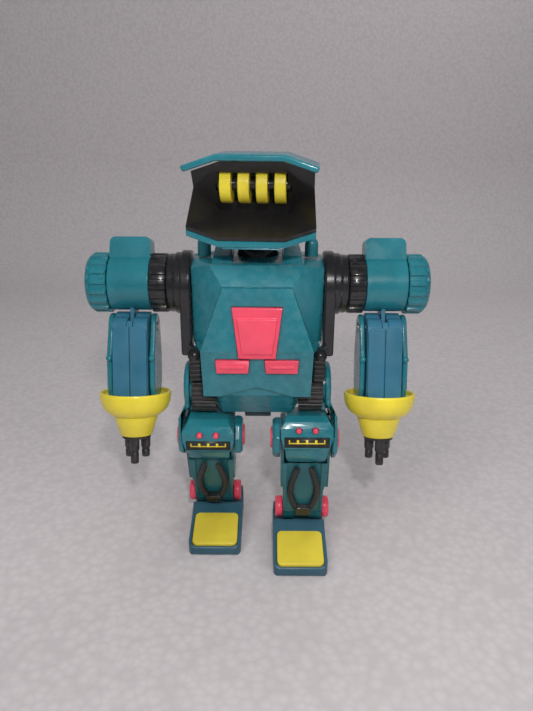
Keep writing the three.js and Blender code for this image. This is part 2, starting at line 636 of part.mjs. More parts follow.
function shinShell() {
  const ankle = -SHIN_LENGTH;
  const side = new THREE.Shape();
  side.moveTo(-8.4, -9);
  side.lineTo(-7.4, ankle + 3);
  side.absarc(0, ankle, 6, 165 * DEG, 375 * DEG);
  side.lineTo(8, -22);
  side.lineTo(9, -9);
  const front = prismY(outline([
    [SHIN_X - 10.7, 0], [SHIN_X - 10.7, -20], [SHIN_X - SHIN_HALF, -25], [SHIN_X - SHIN_HALF, ankle - 8],
    [SHIN_X + SHIN_HALF, ankle - 8], [SHIN_X + SHIN_HALF, -25], [SHIN_X + 10.7, -20], [SHIN_X + 10.7, 0],
  ]), -20, 20);
  const body = prismX(side, SHIN_X - 10.7, SHIN_X + 10.7, 7).intersect(front)
    .subtract(rodX(BALL_R + 0.5, 0, 50, 0, 0, 28));
  const earShape = new THREE.Shape();
  earShape.absarc(0, 0, 6.8, 0, Math.PI);
  [[-6.2, -24], [6.2, -24]].forEach(([y, z]) => earShape.lineTo(y, z));
  const ears = [LEG_X - EAR_OUT, LEG_X + EAR_IN].map((x) => prismX(earShape, x, x + EAR_OUT - EAR_IN, 7));
  const recess = box(SHIN_X - 7.9, SHIN_X + 7.9, -14, -7, -38, -5);
  const tongueSlot = box(SHIN_X - 4.3, SHIN_X + 4.3, -5.4, 12, ankle - 8, ankle + 6);
  return joined(body.subtract(recess), ...ears)
    .subtract(tongueSlot)
    .subtract(rodX(KNEE_AXLE_R + FIT, 0, 50))
    .subtract(rodX(ANKLE_PIN_R + FIT, 0, 50, 0, ankle));
}

function shinHose() {
  const half = 5.9;
  const front = -8.7;
  const low = -35.2;
  const path = new THREE.CatmullRomCurve3([
    [half - 2.6, front - 0.4, -11], [half - 0.6, front - 0.6, -18], [half + 0.2, front, -24], [half - 0.8, front, -30],
    [half - 3.4, front, low], [0, front, low], [3.4 - half, front, low], [0.8 - half, front, -30],
    [-half - 0.2, front, -24], [0.6 - half, front - 0.6, -18], [2.6 - half, front - 0.4, -11],
  ].map(([x, y, z]) => new THREE.Vector3(SHIN_X + x, y, z)));
  const section = new THREE.Shape();
  section.absarc(0, 0, 1.5, 0, Math.PI * 2);
  const tube = new THREE.ExtrudeGeometry(section, { steps: 26, extrudePath: path, curveSegments: 4 });
  const clamp = box(SHIN_X - 3.8, SHIN_X + 3.8, front - 2.2, -7.2, low - 2.4, low + 2.2);
  return solid(tube).add(clamp);
}

function ankleAxle() {
  const inner = -SHIN_HALF - FIT;
  const profile = [[-13, 0], [-13, 4.6], [-12.5, 5.1], [inner, 5.1], [inner, ANKLE_PIN_R]];
  const other = profile.map(([x, r]) => [-x, r]).reverse();
  return turnedX([...profile, ...other].map(([x, r]) => [x + SHIN_X, r]), 0, 0, 18);
}

const FOOT = { half: 12.3, toe: -34.5, heel: 10, sole: -ANKLE_Z };

function padShape(grow) {
  const z = FOOT.sole;
  const shape = roundedRectangle(FOOT_X - 10.6 - grow, FOOT_X + 10.6 + grow, -33.2 - grow, -14.4 + grow, 2.4);
  const geometry = new THREE.ExtrudeGeometry(shape, { depth: 40, bevelEnabled: false, curveSegments: 3 });
  geometry.translate(0, 0, z);
  const wedge = outline([
    [-34 - grow, z + 4.2 - grow], [-13 + grow, z + 8.3 - grow], [-13 + grow, z + 10.6], [-34 - grow, z + 6.2],
  ]);
  return solid(geometry).intersect(prismX(wedge, 0, 60));
}

function footShell() {
  const z = FOOT.sole;
  const profile = outline([
    [FOOT.heel - 1, z], [FOOT.toe + 1, z], [FOOT.toe, z + 1.5], [FOOT.toe + 0.3, z + 4.3], [FOOT.toe + 1.4, z + 5.2],
    [-13, z + 9.6], [-9.6, z + 11.6], [-6, z + 12.2], [7, z + 12.2], [FOOT.heel, z + 8], [FOOT.heel, z + 2],
  ]);
  const plan = roundedRectangle(FOOT_X - FOOT.half, FOOT_X + FOOT.half, FOOT.toe, FOOT.heel, 4);
  const planGeometry = new THREE.ExtrudeGeometry(plan, { depth: 30, bevelEnabled: false, curveSegments: 4 });
  planGeometry.translate(0, 0, z);
  const block = prismX(profile, FOOT_X - FOOT.half, FOOT_X + FOOT.half).intersect(solid(planGeometry));
  const saddle = prismX(outline([[-7.9, -2], [-6.8, -7.2], [6.8, -7.2], [7.6, -2], [9, 3], [-9, 3]]), 0, 50);
  const shaped = block.subtract(saddle).subtract(padShape(FIT));
  const tongue = prismX(roundedRectangle(-3.6, 3.6, -9, 3.6, 3.5), SHIN_X - 4, SHIN_X + 4, 4);
  return shaped.add(tongue).subtract(rodX(ANKLE_PIN_R + FIT, 0, 50));
}

// Two-link leg: the swing of the thigh and of the shin that puts the ankle at its place.
function legAngles(side) {
  const dy = ANKLE_Y[side] - HIP.y;
  const dz = HIP.z - ANKLE_Z;
  const reach = Math.hypot(dy, dz);
  const hipBend = Math.acos(
    (THIGH_LENGTH ** 2 + reach ** 2 - SHIN_LENGTH ** 2) / (2 * THIGH_LENGTH * reach));
  const thigh = Math.atan2(dy, dz) - hipBend;
  const kneeY = HIP.y + THIGH_LENGTH * Math.sin(thigh);
  const kneeZ = HIP.z - THIGH_LENGTH * Math.cos(thigh);
  const shin = Math.atan2(ANKLE_Y[side] - kneeY, kneeZ - ANKLE_Z);
  return { thigh, shin };
}

function buildLeg(side, label) {
  const { thigh, shin } = legAngles(side);
  const thighBody = pivot(robot, 0, HIP.y, HIP.z, thigh);
  place(thighBody, `thigh_frame_${label}`, teal, thighFrame(), side);
  place(thighBody, `thigh_strap_${label}`, black, thighStrap(), side);
  place(thighBody, `knee_housing_${label}`, teal, kneeHousing(), side);
  place(thighBody, `knee_studs_${label}`, pink, kneeStuds(), side);
  const knee = new THREE.Vector3(0, 0, -THIGH_LENGTH);
  place(thighBody, `knee_disc_inner_${label}`, teal, kneeDiscInner(), side).position.copy(knee);
  place(thighBody, `knee_axle_${label}`, pink, kneeAxle(), side).position.copy(knee);

  const shinBody = pivot(thighBody, 0, 0, -THIGH_LENGTH, shin - thigh);
  place(shinBody, `shin_shell_${label}`, teal, shinShell(), side);
  place(shinBody, `shin_hose_${label}`, black, shinHose(), side);
  place(shinBody, `ankle_axle_${label}`, pink, ankleAxle(), side).position.set(0, 0, -SHIN_LENGTH);

  const foot = pivot(shinBody, 0, 0, -SHIN_LENGTH, -shin);
  place(foot, `foot_shell_${label}`, greyTeal, footShell(), side);
  place(foot, `toe_pad_${label}`, yellow, padShape(0), side);
}

buildLeg(RIGHT, 'right');
buildLeg(LEFT, 'left');

// The frame's origin is the middle of the bounding box at the soles.
const bounds = new THREE.Box3().setFromObject(robot);
const middle = bounds.getCenter(new THREE.Vector3());
robot.position.set(-middle.x, -middle.y, -bounds.min.z);

export default robot;
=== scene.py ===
"""Looks of the jointed plastic robot figure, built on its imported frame.

Pieces are drawn in millimetres about the joint that carries them, on the figure's own left (+X) side,
and a matrix for each limb puts them into the part's frame. Right-hand pieces are mirror images.
"""

import json
import math

import bmesh
import bpy
from mathutils import Matrix, Vector


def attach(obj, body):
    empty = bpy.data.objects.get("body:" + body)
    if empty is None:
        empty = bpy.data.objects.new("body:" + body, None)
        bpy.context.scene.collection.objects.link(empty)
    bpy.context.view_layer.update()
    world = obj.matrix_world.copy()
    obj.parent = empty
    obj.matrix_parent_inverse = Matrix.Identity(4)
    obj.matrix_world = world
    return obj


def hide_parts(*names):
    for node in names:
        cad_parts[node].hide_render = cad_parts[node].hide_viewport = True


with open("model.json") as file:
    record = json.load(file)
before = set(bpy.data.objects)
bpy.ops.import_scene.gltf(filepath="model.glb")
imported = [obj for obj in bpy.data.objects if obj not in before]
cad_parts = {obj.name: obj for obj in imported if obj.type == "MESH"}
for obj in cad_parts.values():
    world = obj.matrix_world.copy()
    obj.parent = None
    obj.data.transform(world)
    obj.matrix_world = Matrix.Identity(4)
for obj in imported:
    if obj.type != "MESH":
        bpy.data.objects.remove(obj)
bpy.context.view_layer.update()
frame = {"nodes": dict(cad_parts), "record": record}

MM = 0.001
RIGHT, LEFT = -1, 1
SIDES = {"right": RIGHT, "left": LEFT}
FINE = 96  # sides of a large round piece
SMALL = 48  # sides of a small round piece
TO_FRONT = Matrix.Rotation(math.radians(90), 4, "X")  # turns a piece that points up to point forward

# ---------------------------------------------------------------- frames

joint_list = frame["record"]["behaviour"]["joints"]
JOINT = {joint["name"]: Vector(joint["pos_m"]) / MM for joint in joint_list}


def on_axis(name):
    """A joint's place with x = 0, so that a limb's pieces keep their distance from the middle."""
    place = JOINT[name].copy()
    place.x = 0
    return place


def swing(above, below):
    """The turn about X that points -Z from one joint to the next."""
    way = on_axis(below) - on_axis(above)
    return math.atan2(way.y, -way.z)


def frame_at(place, turn_x=0.0, turn_z=0.0):
    return Matrix.Translation(place) @ Matrix.Rotation(turn_z, 4, "Z") @ Matrix.Rotation(turn_x, 4, "X")


HEAD_TURN = math.radians(-4.5)
HEAD_FORWARD = 7  # the head hangs this far in front of its neck
SHOULDER_Z = 124
TORSO = Matrix.Translation((0, JOINT["shoulder_left"].y, 0))
HEAD = frame_at(Vector((0, JOINT["neck_swivel"].y, 0)), turn_z=HEAD_TURN)
HEAD = HEAD @ Matrix.Translation((0, -HEAD_FORWARD, 0))
ARM, FOREARM, THIGH, SHIN = {}, {}, {}, {}
for label in SIDES:
    arm_swing = swing(f"shoulder_{label}", f"elbow_{label}")
    ARM[label] = frame_at(on_axis(f"shoulder_{label}"), arm_swing)
    FOREARM[label] = frame_at(on_axis(f"elbow_{label}"), arm_swing)
    THIGH[label] = frame_at(on_axis(f"hip_{label}"), swing(f"hip_{label}", f"knee_{label}"))
    SHIN[label] = frame_at(on_axis(f"knee_{label}"), swing(f"knee_{label}", f"ankle_{label}"))

# ------------------------------------------------------------- materials


def plastic(name, colour, roughness, grain=0.25, grime=0.35, wear=0.25, coat=0.0):
    """Moulded plastic: uneven dye, handling grime, fine scratches and paler rubbed edges."""
    material = bpy.data.materials.new(name)
    material.use_nodes = True
    nodes = material.node_tree.nodes
    link = material.node_tree.links.new
    shader = nodes["Principled BSDF"]
    shader.inputs["IOR"].default_value = 1.5
    shader.inputs["Coat Weight"].default_value = coat
    shader.inputs["Coat Roughness"].default_value = 0.12
    place = nodes.new("ShaderNodeTexCoord").outputs["Object"]

    def noise(scale, detail=3.0, stretch=None):
        texture = nodes.new("ShaderNodeTexNoise")
        texture.inputs["Scale"].default_value = scale
        texture.inputs["Detail"].default_value = detail
        source = place
        if stretch:
            mapping = nodes.new("ShaderNodeMapping")
            mapping.inputs["Scale"].default_value = stretch
            mapping.inputs["Rotation"].default_value = (0.4, 0.7, 0.3)
            link(place, mapping.inputs["Vector"])
            source = mapping.outputs["Vector"]
        link(source, texture.inputs["Vector"])
        return texture.outputs["Fac"]

    def spread(value, low, high, to_low, to_high):
        node = nodes.new("ShaderNodeMapRange")
        node.inputs["From Min"].default_value = low
        node.inputs["From Max"].default_value = high
        node.inputs["To Min"].default_value = to_low
        node.inputs["To Max"].default_value = to_high
        link(value, node.inputs["Value"])
        return node.outputs["Result"]

    def blend(factor, first, second):
        node = nodes.new("ShaderNodeMix")
        node.data_type = "RGBA"
        link(factor, node.inputs["Factor"])
        for socket, value in (("A", first), ("B", second)):
            target = [s for s in node.inputs if s.name == socket and s.type == "RGBA"][0]
            if isinstance(value, tuple):
                target.default_value = (*value, 1.0)
            else:
                link(value, target)
        return [s for s in node.outputs if s.type == "RGBA"][0]

    deep = tuple(c * 0.86 for c in colour)
    light = tuple(min(1.0, c * 1.1 + 0.004) for c in colour)
    dusty = tuple(c * 0.75 + 0.022 for c in colour)
    rubbed = tuple(min(1.0, c * 1.15 + 0.07) for c in colour)
    dye = blend(spread(noise(45), 0.35, 0.65, 0, 1), deep, light)
    handled = blend(spread(noise(110, 6), 0.55, 0.78, 0, grime), dye, dusty)
    edge = spread(nodes.new("ShaderNodeNewGeometry").outputs["Pointiness"], 0.53, 0.6, 0, 1)
    patchy = spread(noise(320, 4), 0.42, 0.62, 0, wear)
    edge_wear = nodes.new("ShaderNodeMath")
    edge_wear.operation = "MULTIPLY"
    link(edge, edge_wear.inputs[0])
    link(patchy, edge_wear.inputs[1])
    worn = blend(edge_wear.outputs["Value"], handled, rubbed)
    link(worn, shader.inputs["Base Color"])
    link(spread(noise(160, 5), 0.35, 0.7, roughness - 0.05, roughness + 0.12), shader.inputs["Roughness"])

    skin = nodes.new("ShaderNodeBump")
    skin.inputs["Strength"].default_value = grain
    skin.inputs["Distance"].default_value = 0.00004
    link(noise(1400, 2), skin.inputs["Height"])
    scratches = nodes.new("ShaderNodeBump")
    scratches.inputs["Strength"].default_value = 0.18
    scratches.inputs["Distance"].default_value = 0.00003
    link(spread(noise(60, 2, (3, 90, 7)), 0.6, 0.68, 0, 1), scratches.inputs["Height"])
    link(skin.outputs["Normal"], scratches.inputs["Normal"])
    link(scratches.outputs["Normal"], shader.inputs["Normal"])
    return material


def steel(name):
    material = plastic(name, (0.5, 0.5, 0.51), 0.32, grime=0.3, wear=0.1)
    material.node_tree.nodes["Principled BSDF"].inputs["Metallic"].default_value = 1.0
    return material


def warning_tape(name):
    """A generic printed strip: black film with broken yellow dashes."""
    material = plastic(name, (0.02, 0.02, 0.02), 0.4, grime=0.2)
    nodes = material.node_tree.nodes
    link = material.node_tree.links.new
    shader = nodes["Principled BSDF"]
    uv = nodes.new("ShaderNodeUVMap").outputs["UV"]
    split = nodes.new("ShaderNodeSeparateXYZ")
    link(uv, split.inputs["Vector"])

    def math_node(operation, first, second=None, third=None):
        node = nodes.new("ShaderNodeMath")
        node.operation = operation
        for index, value in enumerate((first, second, third)):
            if value is None:
                continue
            if isinstance(value, (int, float)):
                node.inputs[index].default_value = value
            else:
                link(value, node.inputs[index])
        return node.outputs["Value"]

    across, up = split.outputs["X"], split.outputs["Y"]
    rail = math_node("COMPARE", up, 0.42, 0.055)
    step = math_node("FRACT", math_node("MULTIPLY", across, 5.0))
    posts = math_node("COMPARE", step, 0.5, 0.13)
    tall = math_node("COMPARE", up, 0.55, 0.2)
    blocks = math_node("MULTIPLY", posts, tall)
    inside = math_node("COMPARE", across, 0.5, 0.4)
    print_mask = math_node("MULTIPLY", math_node("MAXIMUM", rail, blocks), inside)
    mix = nodes.new("ShaderNodeMix")
    mix.data_type = "RGBA"
    link(print_mask, mix.inputs["Factor"])
    colours = [s for s in mix.inputs if s.type == "RGBA"]
    base = shader.inputs["Base Color"].links[0].from_socket
    link(base, colours[0])
    colours[1].default_value = (0.85, 0.66, 0.04, 1)
    link([s for s in mix.outputs if s.type == "RGBA"][0], shader.inputs["Base Color"])
    return material


LOOK = {
    "teal_plastic": plastic("teal_plastic", (0.014, 0.178, 0.222), 0.26, coat=0.25),
    "teal_shin": plastic("teal_shin", (0.012, 0.125, 0.145), 0.3, coat=0.2),
    "foot_blue": plastic("foot_blue", (0.03, 0.1, 0.145), 0.38, grime=0.5),
    "blue_plastic": plastic("blue_plastic", (0.032, 0.16, 0.25), 0.34, grime=0.6, coat=0.1),
    "pink_plastic": plastic("pink_plastic", (0.85, 0.07, 0.13), 0.34, grime=0.2, coat=0.15),
    "yellow_plastic": plastic("yellow_plastic", (0.88, 0.72, 0.045), 0.3, grime=0.25, wear=0.1, coat=0.2),
    "pad_yellow": plastic("pad_yellow", (0.72, 0.58, 0.05), 0.4, grime=0.45, wear=0.1),
    "black_gloss": plastic("black_gloss", (0.012, 0.012, 0.014), 0.24, grime=0.3, wear=0.5, coat=0.3),
    "black_satin": plastic("black_satin", (0.024, 0.022, 0.022), 0.42, grime=0.5, wear=0.6),
    "black_matt": plastic("black_matt", (0.014, 0.013, 0.013), 0.36, grain=0.7, grime=0.12, wear=0.35,
                          coat=0.1),
    "pin_steel": steel("pin_steel"),
}
TAPE = warning_tape("warning_tape")

# ---------------------------------------------------------- mesh building


def add_piece(name, mesh, body, slot, place=None, side=LEFT, bevel=0.0, stands_for=(), material=None,
              angle=35):
    """A bmesh in millimetres becomes a shown piece that rides on a body."""
    move = Matrix.Scale(MM, 4)
    if place is not None:
        move = move @ place
    mesh.transform(move @ Matrix.Diagonal((side, 1, 1, 1)))
    if side == RIGHT:
        bmesh.ops.reverse_faces(mesh, faces=mesh.faces)
    data = bpy.data.meshes.new(name)
    mesh.to_mesh(data)
    mesh.free()
    piece = bpy.data.objects.new(name, data)
    bpy.context.scene.collection.objects.link(piece)
    data.materials.append(material or LOOK[slot])
    data.shade_smooth()
    if bevel:
        rounding = piece.modifiers.new("rounded_edges", "BEVEL")
        rounding.width = bevel * MM
        rounding.segments = 3
        rounding.limit_method = "ANGLE"
        rounding.angle_limit = math.radians(angle)
        rounding.use_clamp_overlap = True
        rounding.harden_normals = True
    else:
        data.set_sharp_from_angle(angle=math.radians(angle))
    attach(piece, body)
    if stands_for:
        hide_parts(*stands_for)
    return piece


def refined(node, body, slot, bevel, angle=24):
    """A CAD node's own shape with its flat faces whole and its edges rounded."""
    source = frame["nodes"][node]
    mesh = bmesh.new()
    mesh.from_mesh(source.data)
    mesh.transform(Matrix.Scale(1 / MM, 4))
    bmesh.ops.remove_doubles(mesh, verts=mesh.verts, dist=0.004)
    bmesh.ops.dissolve_limit(mesh, angle_limit=math.radians(1.5), verts=mesh.verts, edges=mesh.edges)
    bmesh.ops.recalc_face_normals(mesh, faces=mesh.faces)
    return add_piece(f"{node}_skin", mesh, body, slot, bevel=bevel, stands_for=(node,), angle=angle)


def turned(profile, axis="X", centre=(0, 0, 0), sides=FINE, radius_at=None):
    """A lathe piece: the profile is [along, radius] from axis to axis."""
    mesh = bmesh.new()
    rings = []
    for along, radius in profile:
        ring = []
        if radius == 0:
            ring.append(mesh.verts.new((along, 0, 0)))
        else:
            for i in range(sides):
                turn = 2 * math.pi * i / sides
                reach = radius_at(along, radius, turn) if radius_at else radius
                ring.append(mesh.verts.new((along, reach * math.cos(turn), reach * math.sin(turn))))
        rings.append(ring)
    for low, high in zip(rings, rings[1:]):
        for i in range(sides):
            j = (i + 1) % sides
            if len(low) == 1:
                mesh.faces.new((low[0], high[j], high[i]))
            elif len(high) == 1:
                mesh.faces.new((low[i], low[j], high[0]))
            else:
                mesh.faces.new((low[i], low[j], high[j], high[i]))
    bmesh.ops.recalc_face_normals(mesh, faces=mesh.faces)
    if axis == "Z":
        mesh.transform(Matrix(((0, 1, 0, 0), (0, 0, 1, 0), (1, 0, 0, 0), (0, 0, 0, 1))))
    mesh.transform(Matrix.Translation(centre))
    return mesh


def prism(points, start, end, axis="X"):
    """An outline pushed along an axis: (y, z) points along X, (x, z) along Y, (x, y) along Z."""
    mesh = bmesh.new()

    def corner(point, along):
        a, b = point
        return {"X": (along, a, b), "Y": (a, along, b), "Z": (a, b, along)}[axis]

    low = [mesh.verts.new(corner(point, start)) for point in points]
    high = [mesh.verts.new(corner(point, end)) for point in points]
    mesh.faces.new(low)
    mesh.faces.new(list(reversed(high)))
    for i in range(len(points)):
        j = (i + 1) % len(points)
        mesh.faces.new((low[i], high[i], high[j], low[j]))
    bmesh.ops.recalc_face_normals(mesh, faces=mesh.faces)
    return mesh


def arc(centre, radius, start, end, steps=24):
    """Points on an arc between two angles in degrees."""
    a, b = centre
    angles = [math.radians(start + (end - start) * i / steps) for i in range(steps + 1)]
    return [(a + radius * math.cos(t), b + radius * math.sin(t)) for t in angles]


def rounded_rectangle(a0, a1, b0, b1, radius, steps=8):
    corners = ((a1 - radius, b1 - radius), (a0 + radius, b1 - radius),
               (a0 + radius, b0 + radius), (a1 - radius, b0 + radius))
    points = []
    for i, centre in enumerate(corners):
        points += arc(centre, radius, 90 * i, 90 * (i + 1), steps)
    return points


def swept(points, radius_at, sides=20):
    """A round tube along points, with a radius for each share of its length and closed ends."""
    mesh = bmesh.new()
    path = [Vector(p) for p in points]
    rings = []
    normal = Vector((0, -1, 0))
    for i, point in enumerate(path):
        ahead = path[min(i + 1, len(path) - 1)] - path[max(i - 1, 0)]
        ahead.normalize()
        normal = (normal - ahead * normal.dot(ahead)).normalized()
        other = ahead.cross(normal)
        radius = radius_at(i / (len(path) - 1))
        ring = []
        for k in range(sides):
            turn = 2 * math.pi * k / sides
            ring.append(mesh.verts.new(point + radius * (normal * math.cos(turn) + other * math.sin(turn))))
        rings.append(ring)
    for low, high in zip(rings, rings[1:]):
        for k in range(sides):
            j = (k + 1) % sides
            mesh.faces.new((low[k], low[j], high[j], high[k]))
    mesh.faces.new(rings[0])
    mesh.faces.new(rings[-1])
    bmesh.ops.recalc_face_normals(mesh, faces=mesh.faces)
    return mesh


def smooth_path(points, steps=12):
    """Catmull-Rom points through a list of corners."""
    path = [Vector(p) for p in points]
    ends = [path[0] * 2 - path[1], *path, path[-1] * 2 - path[-2]]
    smooth = []
    for p0, p1, p2, p3 in zip(ends, ends[1:], ends[2:], ends[3:]):
        for i in range(steps):
            t = i / steps
            smooth.append(0.5 * (2 * p1 + (p2 - p0) * t + (2 * p0 - 5 * p1 + 4 * p2 - p3) * t * t
                                 + (3 * p1 - p0 - 3 * p2 + p3) * t ** 3))
    smooth.append(path[-1])
    return smooth


# ------------------------------------------------------------------ torso


def build_torso():
    refined("chest_shell_front", "torso", "teal_plastic", 0.7, angle=9)
    refined("chest_shell_rear", "torso", "teal_plastic", 0.7, angle=9)
    refined("chest_panel", "torso", "pink_plastic", 0.5)
    refined("pelvis_block", "torso", "foot_blue", 0.6)
    for node in ("chest_bar_right", "chest_bar_left"):
        refined(node, "torso", "pink_plastic", 0.35)
    for node in ("shoulder_axle", "hip_axle"):
        frame["nodes"][node].data.materials.clear()
        frame["nodes"][node].data.materials.append(LOOK["pin_steel"])
    dome = turned([[131.5, 0], [131.5, 9], [137.6, 9], [138.8, 8.8], [140, 8.2], [141, 7.3], [141.9, 5.9],
                   [142.4, 4.4], [142.6, 2.8], [150, 2.8], [150, 0]], "Z", (0, 1, 0))
    add_piece("neck_dome_turned", dome, "torso", "black_gloss", TORSO, stands_for=("neck_dome",), angle=50)
    for label, side in SIDES.items():
        horn = turned([[137, 0], [137, 2.9], [142.2, 2.9], [143.3, 2.65], [144.3, 2.0], [144.9, 1.2],
                       [145.2, 0]], "Z", (23.2, -2.5, 0), SMALL)
        add_piece(f"horn_{label}_turned", horn, "torso", "teal_plastic", TORSO, side,
                  stands_for=(f"horn_{label}",), angle=50)
        build_shoulder_plate(label, side)


def build_shoulder_plate(label, side):
    teardrop = arc((0, SHOULDER_Z), 14.5, -21.6, 194.4, 60) + [(-15, 95), (-10, 93)]
    plate = prism(teardrop, 28.6, 33.5)
    add_piece(f"shoulder_plate_{label}_disc", plate, "torso", "black_gloss", TORSO, side, bevel=1.1,
              stands_for=(f"shoulder_plate_{label}",), angle=30)
    collar_profile = [[33.2, 0], [33.2, 13.6], [35.8, 13.6], [36.3, 12.9], [38.8, 12.9], [39.4, 12.2],
                      [39.4, 0]]
    collar = turned(collar_profile, centre=(0, 0, SHOULDER_Z))
    add_piece(f"shoulder_collar_{label}", collar, "torso", "black_gloss", TORSO, side, bevel=0.5)
    ball_radius = 3
    ball = [(ball_radius * math.sin(turn), ball_radius * math.cos(turn))
            for turn in (math.radians(angle) for angle in range(-90, 91, 10))]
    knuckle = turned(ball, centre=(27.4, -17.5, 96), sides=SMALL)
    bmesh.ops.remove_doubles(knuckle, verts=knuckle.verts, dist=0.001)
    add_piece(f"strap_knuckle_{label}", knuckle, "torso", "black_gloss", TORSO, side, angle=60)
    link = prism([(26.2, 95), (30, 96), (30, 101), (26.2, 98)], -17, -13, "Y")
    add_piece(f"strap_link_{label}", link, "torso", "black_gloss", TORSO, side, bevel=0.5)
    strap = prism(rounded_rectangle(24.8, 29.2, -19.6, -16.4, 0.6, 4), 84.6, 96, "Z")
    add_piece(f"side_strap_{label}", strap, "torso", "black_satin", TORSO, side, bevel=0.3)
    lowest_rib, rib_pitch, rib_height = 85, 2.1, 1.2
    for index in range(5):
        z = lowest_rib + index * rib_pitch
        rib = prism(rounded_rectangle(24.4, 29.7, -20.3, -16.6, 0.8, 4), z, z + rib_height, "Z")
        add_piece(f"side_strap_rib_{label}_{index}", rib, "torso", "black_satin", TORSO, side, bevel=0.4)


# ------------------------------------------------------------------- head


def build_head():
    refined("head_visor", "head", "teal_plastic", 0.8)
    refined("head_jaw", "head", "teal_plastic", 0.5, angle=14)
    refined("head_rear", "head", "teal_plastic", 0.6, angle=14)
    refined("head_insert", "head", "black_matt", 0.25, angle=14)
    lamp = (0, -10.2, 168.2)
    spindle = turned([[-14.6, 0], [-14.6, 2.5], [14.6, 2.5], [14.6, 0]], centre=lamp)
    add_piece("lamp_spindle_turned", spindle, "head", "black_gloss", HEAD, bevel=0.3,
              stands_for=("lamp_spindle",))
    pitch, half_width, bore, outside = 7.15, 2.25, 2.8, 7.4
    for index in range(4):
        x = (index - 1.5) * pitch
        near, far = x - half_width, x + half_width
        ring = turned([[near, bore], [near, outside], [far, outside], [far, bore], [near, bore]], centre=lamp)
        bmesh.ops.remove_doubles(ring, verts=ring.verts, dist=0.001)
        add_piece(f"lamp_ring_{index + 1}", ring, "head", "yellow_plastic", HEAD, bevel=0.45,
                  stands_for=("lamp_rings",) if index == 0 else ())


# ------------------------------------------------------------------- arms

ARM_X = 55.4
LUG_HALF = 0.9
SLOT_HALF = 1.3
FACE_TOP = 0.4


def flute(depth, flutes=18):
    """Radius of a fluted grip: flat ridges with soft valleys between them."""
    def radius_at(_along, radius, turn):
        share = (turn * flutes / (2 * math.pi)) % 1.0
        valley = max(0.0, min(1.0, (0.32 - abs(share - 0.5)) / 0.12))
        return radius - depth * valley * valley * (3 - 2 * valley)
    return radius_at


def build_arm(label, side):
    body = f"upper_arm_{label}"
    place = ARM[label]
    barrel = turned([[39.7, 4.3], [39.7, 12.8], [40.1, 13.1], [46.2, 13.1], [46.6, 12.8], [46.6, 4.3]],
                    radius_at=lambda a, r, t: flute(0.8)(a, r, t) if r > 5 else r, sides=360)
    add_piece(f"shoulder_barrel_{label}_fluted", barrel, body, "black_gloss", place, side,
              stands_for=(f"shoulder_barrel_{label}",), angle=40)

    crown = [[65, 0], [65, 12.9], [65.4, 13.3], [71.2, 13.3], [71.9, 13.1], [72.5, 12.6], [73.5, 11.9],
             [74.2, 11.0], [74.6, 9.8], [74.6, 7.5], [74.0, 7.1], [74.0, 0]]
    grip = flute(0.8)
    cap = turned(crown, radius_at=lambda a, r, t: grip(a, r, t) if a < 73 and r > 12 else r, sides=360)
    add_piece(f"arm_end_cap_{label}_fluted", cap, body, "teal_plastic", place, side,
              stands_for=(f"arm_end_cap_{label}",), angle=40)

    drum = turned([[46.9, 0], [46.9, 12.2], [64.7, 12.2], [64.7, 0]])
    add_piece(f"arm_drum_{label}", drum, body, "teal_plastic", place, side, bevel=0.5,
              stands_for=(f"arm_housing_{label}",))
    build_fin(label, side, body, place)
    lug = prism(arc((0, -19.5), 4.9, 180, 360, 16) + [(4.9, -9), (-4.9, -9)], ARM_X - LUG_HALF,
                ARM_X + LUG_HALF)
    add_piece(f"elbow_lug_{label}", lug, body, "blue_plastic", place, side, bevel=0.2)


def build_fin(label, side, body, place):
    """The upright fin: a rounded front outline that leans in towards its top."""
    base_z, top_z, base_half, top_half = 9.5, 19.9, 6.1, 4.2
    outline = rounded_rectangle(46.9, 64.7, base_z, top_z, 2.6)
    mesh = prism(outline, -1, 1, "Y")
    for vertex in mesh.verts:
        share = (vertex.co.z - base_z) / (top_z - base_z)
        vertex.co.y *= base_half + (top_half - base_half) * share
    square_base = [v for v in mesh.verts if v.co.z < base_z + 2.6]
    for vertex in square_base:
        vertex.co.x = 46.9 if vertex.co.x < ARM_X else 64.7
    bmesh.ops.remove_doubles(mesh, verts=mesh.verts, dist=0.01)
    bmesh.ops.recalc_face_normals(mesh, faces=mesh.faces)
    add_piece(f"arm_fin_{label}", mesh, body, "teal_plastic", place, side, bevel=0.9)


